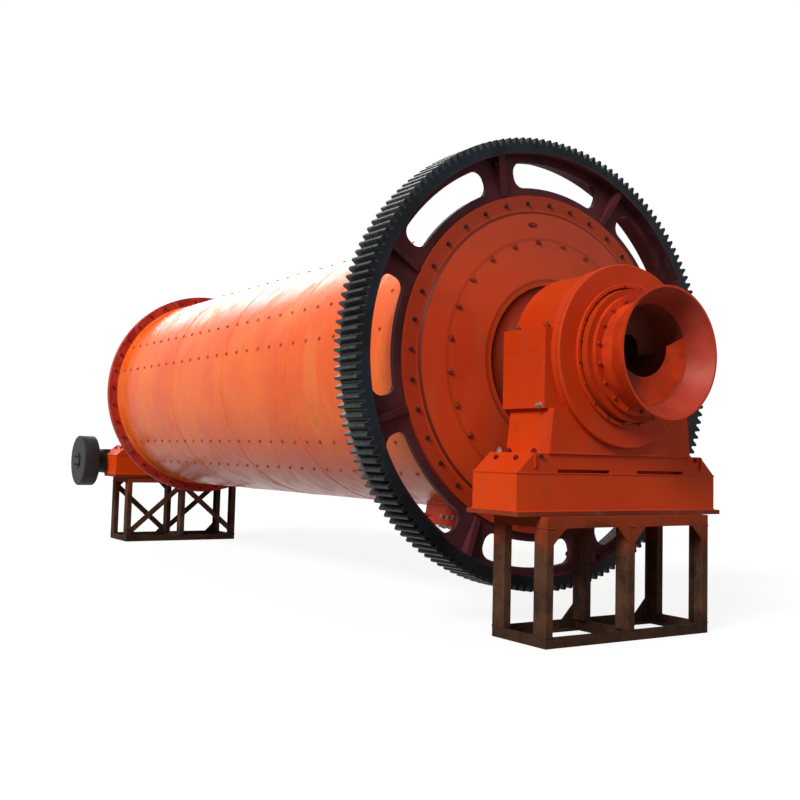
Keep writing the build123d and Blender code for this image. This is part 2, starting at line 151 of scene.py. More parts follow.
def repeated(shape, places):
    """A copy at each place: an origin and three axes. A point p goes to origin + p . axes."""
    points, faces = shape
    copies = places[:, None, 0] + np.einsum("pk,nkd->npd", points, places[:, 1:])
    shift = len(points) * np.arange(len(places))[:, None, None]
    return copies.reshape(-1, 3), [(block + shift).reshape(-1, block.shape[1]) for block in faces]


def places(origins, out, along):
    """Places at the origins whose third axis is out and whose first is along, one of each or many."""
    origins = np.atleast_2d(np.asarray(origins, float))
    out = np.broadcast_to(np.asarray(out, float), origins.shape)
    along = np.broadcast_to(np.asarray(along, float), origins.shape)
    out = out / np.linalg.norm(out, axis=1, keepdims=True)
    side = np.cross(out, along)
    side /= np.linalg.norm(side, axis=1, keepdims=True)
    return np.stack((origins, np.cross(side, out), side, out), 1)


def piece(name, shape, material, body, smooth=True, edge=None):
    """Makes the mesh and gives it its finish and its body, and rounds its edges if a width is given."""
    points, faces = shape
    mesh = bpy.data.meshes.new(name)
    mesh.from_pydata(points.tolist(), [], [corners for block in faces for corners in block.tolist()])
    mesh.polygons.foreach_set("use_smooth", np.full(len(mesh.polygons), smooth))
    mesh.materials.append(material)
    item = bpy.data.objects.new(name, mesh)
    bpy.context.scene.collection.objects.link(item)
    if smooth:
        mesh.set_sharp_from_angle(angle=radians(35))
    if edge:
        round_edges(item, edge)
    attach(item, body)


def round_edges(item, width):
    """Joins the loose triangles, merges flat neighbours and rounds the edges, like a casting's."""
    weld = item.modifiers.new("join", "WELD")
    weld.merge_threshold = 0.0002
    flat = item.modifiers.new("flat", "DECIMATE")
    flat.decimate_type = "DISSOLVE"
    flat.angle_limit = radians(0.5)
    bevel = item.modifiers.new("edges", "BEVEL")
    bevel.width = width
    bevel.segments = 2
    bevel.limit_method = "ANGLE"
    bevel.angle_limit = radians(38)
    bevel.harden_normals = True
    bevel.use_clamp_overlap = True


# Places round the drum, and fasteners to put there
def directions(degrees):
    """Unit vectors (0, cos a, sin a) away from the drum's axis."""
    angle = np.radians(np.asarray(degrees, float))
    return np.stack((0 * angle, np.cos(angle), np.sin(angle)), -1)


def around(x, radius, degrees, out):
    """Places on a circle round the drum's axis at x, facing out along X."""
    radial = directions(degrees)
    return places((x, 0, AXIS_Z) + radius * radial, (out, 0, 0), radial)


def grid(xs, ys, zs):
    """Every combination of the given coordinates, as rows."""
    return np.stack(np.meshgrid(xs, ys, zs, indexing="ij"), -1).reshape(-1, 3)


def hexagon(across, height, washer, washer_thickness=WASHER):
    """Hexagon with its corners taken off, on a round washer whose foot is 1 mm under the face."""
    corner = across / sqrt(3)
    chamfer = 0.12 * across
    disc = [(washer, -0.001), (washer, washer_thickness * 0.7), (washer * 0.95, washer_thickness)]
    top = washer_thickness + height
    head = [(corner, washer_thickness), (corner, top - chamfer * 0.5), (corner - chamfer, top)]
    return together(lathe(disc, 14), lathe(head, 6))


def stud(across, height, washer, thread, proud):
    """Nut on a washer with the end of its stud standing proud."""
    end = WASHER + height + proud
    rod = [(thread / 2, height * 0.5), (thread / 2, end - thread * 0.1), (thread * 0.38, end)]
    return together(hexagon(across, height, washer), lathe(rod, 10))


# Weld metal
def beads(starts, ends, radius, rings=18, sides=7):
    """Tubes along lines. At share s of the way the radius is r (1 + 0.18 sin(2.4 n s)), for n rings."""
    starts, ends = np.atleast_2d(starts).astype(float), np.atleast_2d(ends).astype(float)
    line = ends - starts
    length = np.linalg.norm(line, axis=1, keepdims=True)
    forward = line / length
    helper = np.where(np.abs(forward[:, 2:]) > 0.9, (1.0, 0.0, 0.0), (0.0, 0.0, 1.0))
    side = np.cross(forward, helper)
    side /= np.linalg.norm(side, axis=1, keepdims=True)
    up = np.cross(forward, side)
    share = np.linspace(0, 1, rings)
    angle = np.arange(sides) * 2 * pi / sides
    size = (radius * (1 + 0.18 * np.sin(share * rings * 2.4 + length * 9)))[..., None, None]
    circle = np.cos(angle)[:, None] * side[:, None, None] + np.sin(angle)[:, None] * up[:, None, None]
    centre = starts[:, None] + share[:, None] * line[:, None]
    points = (centre[:, :, None] + size * circle).reshape(len(starts), -1, 3)
    points = np.concatenate((points, starts[:, None], ends[:, None]), 1)
    shift = points.shape[1] * np.arange(len(starts))[:, None, None]
    faces = [(block + shift).reshape(-1, block.shape[1]) for block in tube_faces(rings, sides)]
    return points.reshape(-1, 3), faces


def closed_bead(path, half_width, height, sides=8):
    """Bead round a closed path: ring points w cos b side + h sin b up, both square to the path."""
    forward = np.roll(path, -1, 0) - np.roll(path, 1, 0)
    forward /= np.linalg.norm(forward, axis=1, keepdims=True)
    up = path - path.mean(0)
    up -= (up * forward).sum(1, keepdims=True) * forward
    up /= np.linalg.norm(up, axis=1, keepdims=True)
    side = np.cross(forward, up)
    count = len(path)
    b = np.arange(sides)[:, None] * 2 * pi / sides
    ripple = 1 + 0.16 * np.sin(np.arange(count) * 2.3)[:, None, None]
    ring = half_width * np.cos(b) * side[:, None] + height * ripple * np.sin(b) * up[:, None]
    i, j = np.meshgrid(np.arange(count), np.arange(sides), indexing="ij")
    next_i, next_j = (i + 1) % count, (j + 1) % sides
    here, there = i * sides, next_i * sides
    faces = np.stack((here + j, there + j, there + next_j, here + next_j), -1)
    return (path[:, None] + ring).reshape(-1, 3), [faces.reshape(-1, 4)]


def hoop(x, half_width, height):
    """Weld round the shell at x."""
    path = (x, 0, AXIS_Z) + SHELL_RADIUS * directions(np.arange(360))
    return closed_bead(path, half_width, height)


def rounded(half_length, half_width, count, power=0.42):
    """Rounded rectangle: u = a |cos t|^p, v = b |sin t|^p, each with its sign."""
    t = (np.arange(count) + 0.5) * 2 * pi / count
    u = half_length * np.sign(np.cos(t)) * np.abs(np.cos(t)) ** power
    v = half_width * np.sign(np.sin(t)) * np.abs(np.sin(t)) ** power
    return u[:, None], v[:, None]


# Materials
def linear(code):
    """An sRGB hex colour as linear red, green, blue and an alpha of 1."""
    parts = [int(code[i:i + 2], 16) / 255 for i in (1, 3, 5)]
    return [c / 12.92 if c <= 0.04045 else ((c + 0.055) / 1.055) ** 2.4 for c in parts] + [1.0]


def add(tree, kind, inputs, output=0, **settings):
    """Adds a node with its settings and gives one of its outputs. An input is a value or an output."""
    node = tree.nodes.new("ShaderNode" + kind)
    for key, value in settings.items():
        setattr(node, key, value)
    for key, value in inputs.items():
        if isinstance(value, bpy.types.NodeSocket):
            tree.links.new(value, node.inputs[key])
        else:
            node.inputs[key].default_value = value
    return node.outputs[output]


def cloud(tree, place, scale, detail=4, stretch=(1, 1, 1), shift=(0, 0, 0), roughness=0.55):
    """Noise with features about 1 / scale metres across, and longer along an axis of small stretch."""
    moved = add(tree, "Mapping", {"Vector": place, "Scale": stretch, "Location": shift})
    inputs = {"Vector": moved, "Scale": scale, "Detail": detail, "Roughness": roughness}
    return add(tree, "TexNoise", inputs, "Fac")


def coats(tree, base, layers):
    """Colours over a base, each up to its share as its pattern goes from start to end."""
    colour = linear(base) if isinstance(base, str) else base
    for pattern, start, end, share, over in layers:
        limits = {0: pattern, 1: start, 2: end, 4: share}
        cover = add(tree, "MapRange", limits, interpolation_type="SMOOTHSTEP")
        over = linear(over) if isinstance(over, str) else over
        colour = add(tree, "Mix", {0: cover, 6: colour, 7: over}, 2, data_type="RGBA")
    return colour


def relief(tree, layers):
    """Bumps, each on the one before. A layer is (height pattern, depth in metres, strength)."""
    inputs = {}
    for pattern, depth, strength in layers:
        inputs |= {"Height": pattern, "Distance": depth, "Strength": strength}
        inputs["Normal"] = add(tree, "Bump", inputs)
    return inputs["Normal"]


def from_axis(tree, place):
    """Distance of the point from the drum's axis."""
    moved = add(tree, "Mapping", {"Vector": place, "Location": (0, 0, -AXIS_Z), "Scale": (0, 1, 1)})
    return add(tree, "VectorMath", {0: moved}, "Value", operation="LENGTH")


def started(name):
    """A new material with its node tree and the object's coordinates."""
    material = bpy.data.materials.new(name)
    material.use_nodes = True
    tree = material.node_tree
    return material, tree, add(tree, "TexCoord", {}, "Object")


def shaded(material, colour, normal, roughness, **constants):
    """Gives the shader its colour, relief and roughness, and its constants by name."""
    tree = material.node_tree
    shader = tree.nodes["Principled BSDF"]
    values = {"Base Color": colour, "Normal": normal, "Roughness": roughness}
    values |= {key.replace("_", " "): value for key, value in constants.items()}
    for key, value in values.items():
        if isinstance(value, bpy.types.NodeSocket):
            tree.links.new(value, shader.inputs[key])
        else:
            shader.inputs[key].default_value = value
    return material


# Oil enamel sprayed on plate and castings: glossy and slightly wavy, with chalky runs, grime and chips.
def enamel(name, fresh, deep, chalky, chalk, roughness, waves=0.01, extra=None, **constants):
    material, tree, place = started(name)
    runs = cloud(tree, place, 2.4, 6, stretch=(2.4, 2.4, 0.4), shift=(0.4, 0, 0))
    specks = cloud(tree, place, 38, 5, roughness=0.75)
    layers = [
        (cloud(tree, place, 0.9, 3, shift=(3, 1, 2)), 0.38, 0.66, 1.0, deep),
        (runs, 0.48, 0.72, chalk, chalky),
        (cloud(tree, place, 5.5, 6, shift=(1, 8, 4), roughness=0.65), 0.56, 0.74, 0.30, "#8A3218"),
        (specks, 0.70, 0.74, 0.45, "#6E2C1A"),
    ]
    colour = coats(tree, fresh, layers + (extra(tree, place) if extra else []))
    rough = add(tree, "MapRange", {0: runs, 1: 0.48, 2: 0.72, 3: roughness, 4: roughness + 0.2})
    normal = relief(tree, [
        (cloud(tree, place, 1.7, 2, shift=(7, 3, 5)), waves, 0.35),
        (cloud(tree, place, 11, 3), waves * 0.11, 0.3),
        (specks, 0.0006, 0.25),
    ])
    return shaded(material, colour, normal, rough, **constants)


# Rust and oil have crept out from under each liner bolt's washer, in a spot about 60 mm across.
def liner_bolt_stains(tree, place):
    x, y, z = (add(tree, "SeparateXYZ", {0: place}, axis) for axis in "XYZ")
    height = add(tree, "Math", {0: z, 1: -AXIS_Z}, operation="ADD")
    turn = add(tree, "Math", {0: height, 1: y}, operation="ARCTAN2")
    girth = add(tree, "Math", {0: turn, 1: SHELL_RADIUS}, operation="MULTIPLY")
    unrolled = add(tree, "CombineXYZ", {0: x, 1: girth})
    first = (LINER_START, SHELL_RADIUS * radians(FIRST_PAIR_ANGLE), 0)
    cell = (LINER_PITCH / 2, SHELL_RADIUS * pi / LINER_PAIRS, 1)
    from_pair = add(tree, "VectorMath", {0: unrolled, 1: first}, operation="SUBTRACT")
    corners = {0: from_pair, 1: cell, 2: [-side for side in cell]}
    from_pair = add(tree, "VectorMath", corners, operation="WRAP")
    beside = add(tree, "VectorMath", {0: from_pair}, operation="ABSOLUTE")
    spread = (0, SHELL_RADIUS * radians(PAIR_HALF_SPREAD), 0)
    along_x = add(tree, "VectorMath", {0: beside, 1: spread}, operation="SUBTRACT")
    away = add(tree, "VectorMath", {0: along_x}, "Value", operation="LENGTH")
    ragged = add(tree, "Math", {0: cloud(tree, place, 24, 3), 1: 0.02, 2: away},
                 operation="MULTIPLY_ADD")
    return [(ragged, 0.046, 0.026, 0.30, "#9A3C18")]


# The journals are painted dark as shade between the heads and the bearings.
def journal_painted_shade(tree, place):
    along = add(tree, "Math", {0: add(tree, "SeparateXYZ", {0: place}, "X")}, operation="ABSOLUTE")
    # painted shade on the journal, fading out toward the bearing
    return [(along, JOURNAL_UNSHADED, JOURNAL_SHADED, 0.85, "#6A1E10")]


# Painted shade in the head's groove and at the foot of its lip, and grime by its bolts. The rim is
# darker, the top faded.
def head_shade_and_grime(tree, place):
    away = from_axis(tree, place)
    layers = [
        (add(tree, "SeparateXYZ", {0: place}, "Z"), 1.9, 2.9, 0.7, "#A9452D"),
        (away, GROOVE_RADIUS + 0.020, GROOVE_RADIUS + 0.030, 0.45, "#8E2C17"),
    ]
    by_the_bolts = HEAD_BOLT_CIRCLE + 0.020
    # painted shade: dark rings in the groove and at the lip's foot; a fainter grime ring by the bolts
    for radius, width, share in (
        (GROOVE_RADIUS, 0.014, 0.9), (LIP_FOOT_RADIUS, 0.016, 0.5), (by_the_bolts, 0.018, 0.25),
    ):
        offset = add(tree, "Math", {0: away, 1: radius}, operation="SUBTRACT")
        near = add(tree, "Math", {0: offset}, operation="ABSOLUTE")
        layers.append((near, width, width * 0.3, share, "#4A170E"))
    return layers


# Cast and hobbed steel: greased black on the toothed rim, dull maroon primer on the web and its ribs.
# The teeth and rim toward the bottom are painted near black as shade.
def gear_finish():
    material, tree, place = started("greased cast steel and maroon primer")
    ragged = add(tree, "Math", {0: cloud(tree, place, 9, 4), 1: 0.03, 2: from_axis(tree, place)},
                 operation="MULTIPLY_ADD")
    on_rim = add(tree, "MapRange", {0: ragged, 1: WEB_RADIUS, 2: WEB_RADIUS + 0.014})
    along = add(tree, "SeparateXYZ", {0: add(tree, "TexCoord", {}, "Normal")}, "X")
    on_side = add(tree, "Math", {0: along}, operation="ABSOLUTE")
    side = coats(tree, "#1E272F", [(cloud(tree, place, 4, 4), 0.4, 0.65, 1.0, "#12171B")])
    worn = cloud(tree, place, 26, 5, roughness=0.7)
    lands = coats(tree, "#464747", [(worn, 0.35, 0.7, 1.0, "#222526")])
    height = add(tree, "SeparateXYZ", {0: place}, "Z")
    # painted shade: the rim goes near black toward the bottom
    rim = coats(tree, lands, [(on_side, 0.5, 0.9, 1.0, side), (height, 1.4, 0.5, 0.9, "#060608")])
    colour = coats(tree, "#54262A", [
        (cloud(tree, place, 3.2, 5, shift=(1, 2, 8)), 0.42, 0.68, 1.0, "#381B1F"),
        (cloud(tree, place, 7, 6, shift=(5, 1, 3)), 0.60, 0.72, 0.45, "#662C2C"),
        (on_rim, 0.0, 1.0, 1.0, rim),
    ])
    normal = relief(tree, [
        (cloud(tree, place, 30), 0.0015, 0.4),
        (cloud(tree, place, 130, 2), 0.0005, 0.35),
    ])
    rough = add(tree, "MapRange", {0: on_rim, 3: 0.55, 4: 0.38})
    return shaded(material, colour, normal, rough, Specular_IOR_Level=0.10)


# Red oxide primer, flat and powdery, with darker patches where oil has run.
def oxide_red():
    material, tree, place = started("red oxide primer")
    colour = coats(tree, "#B43526", [
        (cloud(tree, place, 5, 5), 0.40, 0.65, 1.0, "#98261A"),
        (cloud(tree, place, 9, 5, shift=(6, 2, 2)), 0.50, 0.68, 0.5, "#B8624C"),
        (cloud(tree, place, 40), 0.62, 0.70, 0.5, "#5A1A14"),
    ])
    normal = relief(tree, [(cloud(tree, place, 60), 0.0008, 0.35)])
    return shaded(material, colour, normal, 0.55, Specular_IOR_Level=0.15)


# Hot-rolled steel left outdoors: brown scale and rust, with painted shade darkening it near the ground,
# and orange at the column tops that is paint drifted from the base and painted reflection of it.
def rusty_steel():
    material, tree, place = started("rusted hot-rolled steel")
    height = add(tree, "SeparateXYZ", {0: place}, "Z")
    ragged = add(tree, "Math", {0: cloud(tree, place, 7, shift=(4, 4, 0)), 1: 0.34, 2: height},
                 operation="MULTIPLY_ADD")
    pitting = cloud(tree, place, 55, 5, roughness=0.75)
    colour = coats(tree, "#543828", [
        (cloud(tree, place, 6, 6, roughness=0.65), 0.38, 0.66, 1.0, "#32221A"),
        (pitting, 0.52, 0.68, 0.6, "#6A3C22"),
        (cloud(tree, place, 8, 5, stretch=(3, 3, 0.3), shift=(2, 0, 0)), 0.56, 0.72, 0.6, "#1C120F"),
        # orange at the column tops: paint drifted from the base, and painted reflection of the base
        (ragged, 0.68, 1.00, 0.8, "#9E3A18"),
        # painted shade: darker near the ground
        (height, 0.18, 0.05, 0.5, "#1E1512"),
    ])
    normal = relief(tree, [(cloud(tree, place, 22, 5), 0.002, 0.5), (pitting, 0.0012, 0.5)])
    return shaded(material, colour, normal, 0.8, Specular_IOR_Level=0.1)


# Dull black paint on the cast wheel and its bracket, browned by road dust.
def dull_black():
    material, tree, place = started("dull black paint")
    colour = coats(tree, "#1A1B1D", [
        (cloud(tree, place, 7, 5), 0.40, 0.66, 1.0, "#262120"),
        (cloud(tree, place, 45, 5), 0.58, 0.70, 0.5, "#39332F"),
    ])
    normal = relief(tree, [(cloud(tree, place, 30), 0.001, 0.4)])
    return shaded(material, colour, normal, 0.62, Specular_IOR_Level=0.3)


# Enamel on the trumpets. The flared inner wall is a darker, pinker copy of the enamel as painted shade,
# and it is browner still deeper in the tube as painted shade.
def trumpet_finish():
    material, tree, place = started("enamel with painted shade inside")
    flat = add(tree, "Mapping", {"Vector": place, "Location": (0, 0, -AXIS_Z), "Scale": (0, 1, 1)})
    normal = add(tree, "TexCoord", {}, "Normal")
    facing = add(tree, "VectorMath", {0: flat, 1: normal}, "Value", operation="DOT_PRODUCT")
    depth = add(tree, "Math", {0: add(tree, "SeparateXYZ", {0: place}, "X")}, operation="ABSOLUTE")
    patches = cloud(tree, place, 5, 5)
    # painted shade: the inner wall's colour, browner past the throat
    wall = coats(tree, "#A03423", [
        (patches, 0.40, 0.65, 1.0, "#AE3E2A"),
        (depth, THROAT + 0.004, THROAT - 0.02, 1.0, "#93422E"),
    ])
    colour = coats(tree, "#CB3C10", [
        (patches, 0.40, 0.65, 1.0, "#B2300F"),
        (facing, 0.0, -0.05, 1.0, wall),
    ])
    bumps = relief(tree, [
        (cloud(tree, place, 9, 3), 0.002, 0.3),
        (cloud(tree, place, 70), 0.0006, 0.3),
    ])
    return shaded(material, colour, bumps, 0.5, Specular_IOR_Level=0.2)


# Orange paint on the edge of the spiral plate by the throat, painted brighter than the trumpet's enamel
# as light. Further in it is painted dark brown as shade.
def flight_finish():
    material, tree, place = started("worn enamel with painted shade inside")
    depth = add(tree, "Math", {0: add(tree, "SeparateXYZ", {0: place}, "X")}, operation="ABSOLUTE")
    # painted light: a brighter orange than the trumpet's enamel
    colour = coats(tree, "#E24C20", [
        (cloud(tree, place, 8, 5), 0.40, 0.62, 1.0, "#CC3E1A"),
        # painted shade: dark brown past the throat
        (depth, THROAT - 0.06, THROAT - 0.10, 1.0, "#743628"),
    ])
    normal = relief(tree, [(cloud(tree, place, 40), 0.001, 0.4)])
    return shaded(material, colour, normal, 0.6, Specular_IOR_Level=0.15)


# Cast tin bronze of the bushes, dulled by grease.
def bronze():
    material, tree, place = started("tin bronze")
    colour = coats(tree, "#B08A4E", [(cloud(tree, place, 12), 0.40, 0.65, 1.0, "#7B5A31")])
    normal = relief(tree, [(cloud(tree, place, 60, 3), 0.0005, 0.3)])
    return shaded(material, colour, normal, 0.42, Metallic=1.0)


# Small fasteners: one colour with grime over it.
def fastener(name, clean, grimy, roughness, metallic):
    material, tree, place = started(name)
    colour = coats(tree, clean, [(cloud(tree, place, 25, 3), 0.40, 0.62, 1.0, grimy)])
    normal = relief(tree, [(cloud(tree, place, 120, 2), 0.0003, 0.3)])
    return shaded(material, colour, normal, roughness, Metallic=metallic, Specular_IOR_Level=0.15)


shell_enamel = enamel(
    "glossy orange enamel", "#F56D22", "#EA5818", "#E98A52",
    chalk=0.40, roughness=0.22, waves=0.040, extra=liner_bolt_stains, Specular_IOR_Level=0.10,
)
head_enamel = enamel(
    "orange enamel on castings", "#D4461D", "#C03A17", "#B4543A",
    chalk=0.3, roughness=0.42, extra=head_shade_and_grime, Specular_IOR_Level=0.12,
)
base_enamel = enamel(
    "orange enamel on plate", "#D6430C", "#C63A0B", "#B8482A",
    chalk=0.3, roughness=0.40, Specular_IOR_Level=0.12,
)
trunnion_enamel = enamel(
    "orange enamel on the journals", "#C23C14", "#AC3210", "#9A4028",
    chalk=0.3, roughness=0.50, extra=journal_painted_shade, Specular_IOR_Level=0.08,
)
plate_enamel = enamel(
    "scuffed orange enamel on the base plates", "#8E361A", "#682819", "#7C5646",
    chalk=0.5, roughness=0.50, Specular_IOR_Level=0.10,
)
manhole_enamel = enamel(
    "red enamel on the manhole", "#C8361A", "#A82A14", "#CC6A4C",
    chalk=0.4, roughness=0.34, Specular_IOR_Level=0.15,
)
# The bearings' enamel is the base box's orange painted a little darker, as shade.
housing_enamel = enamel(
    "orange enamel on the bearings", "#CE3E0E", "#BF360D", "#B0442A",
    chalk=0.3, roughness=0.42, Specular_IOR_Level=0.12,
)
gear_steel = gear_finish()
red_primer = oxide_red()
stand_steel = rusty_steel()
black_paint = dull_black()
trumpet_enamel = trumpet_finish()
flight_paint = flight_finish()
bush_bronze = bronze()
oiled_steel = fastener("dark oiled steel", "#281A17", "#40241C", roughness=0.5, metallic=0.3)
painted_steel = fastener("grimy paint on bolts", "#A23C1A", "#6A2513", roughness=0.5, metallic=0.0)
primed_steel = fastener("red primer on bolts", "#701E14", "#4A1610", roughness=0.55, metallic=0.0)
liner_nuts = fastener(
    "orange enamel over rust on nuts", "#C8541F", "#93391A", roughness=0.5, metallic=0.0,
)
zinc_plate = fastener("zinc plate", "#A8928A", "#80695F", roughness=0.5, metallic=0.5)

BEARING = (
    "bearing_sole", "bearing_pedestal", "bearing_cap",
    "bearing_front_ring", "bearing_back_ring", "seal_cover",
)
STAND = ("columns", "bottom_frame", "top_frame", "gussets")
FINISHES = [
    (shell_enamel, [f"shell_course_{number}" for number in (1, 2, 3, 4)]),
    (manhole_enamel, ["manhole_frame", "manhole_cover"]),
    (head_enamel, [f"{end}_head" for end in OUTWARD]),
    (trunnion_enamel, [f"{end}_trunnion" for end in OUTWARD]),
    (plate_enamel, [f"{end}_base_plate" for end in OUTWARD]),
    (base_enamel, [f"{end}_base_box" for end in OUTWARD]),
    (housing_enamel, [f"{end}_{part}" for end in OUTWARD for part in BEARING]),
    (gear_steel, ["girth_gear_half_1", "girth_gear_half_2"]),
    (red_primer, ["feed_shell_flange", "discharge_shell_flange"]),
    (stand_steel, [f"{end}_stand_{part}" for end in OUTWARD for part in STAND]),
    (stand_steel, ["feed_stand_braces"]),
    (black_paint, ["wheel_bracket", "side_wheel"]),
    (trumpet_enamel, [f"{end}_trumpet" for end in OUTWARD]),
    (flight_paint, [f"{end}_spiral_flight" for end in OUTWARD]),
    (bush_bronze, [f"{end}_bearing_bush" for end in OUTWARD]),
]
for finish, nodes in FINISHES:
    for node in nodes:
        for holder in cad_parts[node].material_slots:
            holder.link = "OBJECT"
            holder.material = finish

ROUNDED_EDGES = {
    "base_plate": 0.003, "base_box": 0.004, "bearing_sole": 0.005, "bearing_pedestal": 0.0015,
    "bearing_cap": 0.0015, "bearing_front_ring": 0.008, "bearing_back_ring": 0.005, "seal_cover": 0.004,
}
for end in OUTWARD:
    for part, width in ROUNDED_EDGES.items():
        round_edges(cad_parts[f"{end}_{part}"], width)
round_edges(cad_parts["side_wheel"], 0.006)


# Bolts and welds on the drum
def drum_end_bolts(end):
    """Rim bolts through the head and the shell's flange, liner bolts on the cone, and trumpet bolts."""
    out = OUTWARD[end]
    root = reach(f"{end}_head", 0, -out)
    circle = (reach(f"{end}_head", 1, 1) + GROOVE_EDGE) / 2
    angles = RIM_BOLT_ANGLE + np.arange(RIM_BOLTS) * 360 / RIM_BOLTS
    front = root + out * RIM_THICKNESS
    heads = repeated(hexagon(0.026, 0.011, 0.015), around(front, circle, angles, out))
    back = reach(f"{end}_shell_flange", 0, -out)
    ends = stud(0.026, 0.012, 0.015, 0.014, 0.007)
    nuts = repeated(ends, around(back, circle, angles, -out))
    rim_finish = oiled_steel if end == "discharge" else primed_steel
    piece(f"{end}_rim_bolts", together(heads, nuts), rim_finish, "drum")

    angles = HEAD_BOLT_ANGLE + np.arange(HEAD_BOLTS) * 360 / HEAD_BOLTS
    seat = around(root + out * HEAD_BOLT_SEAT, HEAD_BOLT_CIRCLE, angles, out)
    facing = (out * cos(HEAD_SLOPE), 0, 0) + sin(HEAD_SLOPE) * seat[:, 1]
    bolts = repeated(hexagon(0.032, 0.012, 0.022), places(seat[:, 0], facing, seat[:, 1]))
    piece(f"{end}_head_liner_bolts", bolts, painted_steel, "drum")

    face = reach(f"{end}_seal_cover", 0, out) + out * TRUMPET_FLANGE_FACE
    angles = TRUMPET_BOLT_ANGLE + np.arange(TRUMPET_BOLTS) * 360 / TRUMPET_BOLTS
    bolts = repeated(hexagon(0.022, 0.010, 0.014), around(face, TRUMPET_BOLT_CIRCLE, angles, out))
    piece(f"{end}_trumpet_bolts", bolts, painted_steel, "drum")


def shell_liner_bolts():
    """Nuts in rows along the shell, in pairs of rows, at angle a: (x, R cos a, axis + R sin a)."""
    pairs = FIRST_PAIR_ANGLE + np.arange(LINER_PAIRS) * 360 / LINER_PAIRS
    rows = directions(np.concatenate((pairs - PAIR_HALF_SPREAD, pairs + PAIR_HALF_SPREAD)))
    x = LINER_START + LINER_PITCH * LINER_ROW
    radial = np.repeat(rows, len(x), 0)
    origins = SHELL_RADIUS * radial + (0, 0, AXIS_Z)
    origins[:, 0] = np.tile(x, len(rows))
    nuts = repeated(hexagon(0.021, 0.007, 0.013, 0.003), places(origins, radial, (1, 0, 0)))
    piece("shell_liner_bolts", nuts, liner_nuts, "drum")


def shell_welds():
    """Round seams between the courses and at the flanges, and one long seam on each course."""
    seams = [hoop(reach(f"shell_course_{number}", 0, 1), 0.010, 0.0028) for number in (1, 2, 3)]
    seams.append(hoop(reach("feed_shell_flange", 0, 1), 0.012, 0.010))
    seams.append(hoop(reach("discharge_shell_flange", 0, -1), 0.012, 0.010))
    starts, ends = [], []
    for number, degrees in LONG_SEAM_ANGLES.items():
        line = (0, 0, AXIS_Z) + SHELL_RADIUS * directions(degrees)
        starts.append(line + (reach(f"shell_course_{number}", 0, -1), 0, 0))
        ends.append(line + (reach(f"shell_course_{number}", 0, 1), 0, 0))
    seams.append(beads(starts, ends, 0.0045, rings=160))
    piece("shell_seams", together(*seams), shell_enamel, "drum")


def manhole_details():
    """Bolts and nuts round the cover, and the weld at the neck's foot."""
    low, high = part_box("manhole_cover")
    radial, across = directions([MANHOLE_ANGLE, MANHOLE_ANGLE + 90])
    axis_point = ((low.x + high.x) / 2, 0, AXIS_Z)
    u, v = rounded(*MANHOLE_BOLT_HALVES, 16)
    origins = axis_point + u * (1, 0, 0) + v * across + MANHOLE_TOP * radial
    bolts = repeated(hexagon(0.030, 0.015, 0.020), places(origins, radial, (1, 0, 0)))
    under = origins - MANHOLE_FLANGES * radial
    nuts = repeated(stud(0.030, 0.018, 0.020, 0.018, 0.010), places(under, -radial, (1, 0, 0)))
    piece("manhole_bolts", together(bolts, nuts), zinc_plate, "drum")
    u, v = rounded(*MANHOLE_NECK_HALVES, 120)
    path = axis_point + u * (1, 0, 0) + v * across + np.sqrt(SHELL_RADIUS ** 2 - v ** 2) * radial
    piece("manhole_weld", closed_bead(path, 0.007, 0.007), shell_enamel, "drum")


def gear_joint_bolts():
    """Bolts through the flanges where the gear's halves meet, with nuts on the far flange."""
    front = reach("girth_gear_half_1", 0, 1)
    spots = (front, 0) + np.array(JOINT_BOLTS) * (-1, 1)
    bolts = []
    for angle in (GEAR_JOINT_ANGLE, GEAR_JOINT_ANGLE + 180):
        radial, across = directions([angle, angle + 90])
        centre = spots[:, :1] * (1, 0, 0) + spots[:, 1:] * radial + (0, 0, AXIS_Z)
        heads = places(centre + JOINT_FLANGE * across, across, radial)
        nuts = places(centre - JOINT_FLANGE * across, -across, radial)
        bolts.append(repeated(hexagon(0.044, 0.020, 0.028), heads))
        bolts.append(repeated(stud(0.044, 0.024, 0.028, 0.030, 0.014), nuts))
    piece("gear_joint_bolts", together(*bolts), oiled_steel, "drum")


def casting_mark():
    """Oval pad on the discharge head's cone: a low dome 96 mm long and 44 mm wide."""
    radial = directions(MARK_ANGLE)
    root = reach("discharge_head", 0, -1)
    lean = (cos(HEAD_SLOPE), 0, 0) + sin(HEAD_SLOPE) * radial
    seat = (root + MARK_SEAT, 0, AXIS_Z) + MARK_CIRCLE * radial
    spot = places(seat, lean, np.cross(radial, (1, 0, 0)))
    spot[:, 1] *= MARK_HALF_LENGTH
    spot[:, 2] *= MARK_HALF_WIDTH
    dome = lathe([(1, -0.001), (1, 0.003), (0.93, 0.0055), (0.6, 0.0065)], 28)
    piece("casting_mark", repeated(dome, spot), primed_steel, "drum")


for end in OUTWARD:
    drum_end_bolts(end)
shell_liner_bolts()
shell_welds()
manhole_details()
gear_joint_bolts()
casting_mark()


# Bolts and welds on the standing parts
def base_middle(end):
    """Middle of a base box along X."""
    low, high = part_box(f"{end}_base_box")
    return (low.x + high.x) / 2


def upright(end, row, height, shape):
    """Copies upright on both sides of a bearing. A row is (distances outward, distance along Y)."""
    distances, side = row
    xs = [base_middle(end) + OUTWARD[end] * distance for distance in distances]
    return repeated(shape, places(grid(xs, (-side, side), (height,)), (0, 0, 1), (1, 0, 0)))


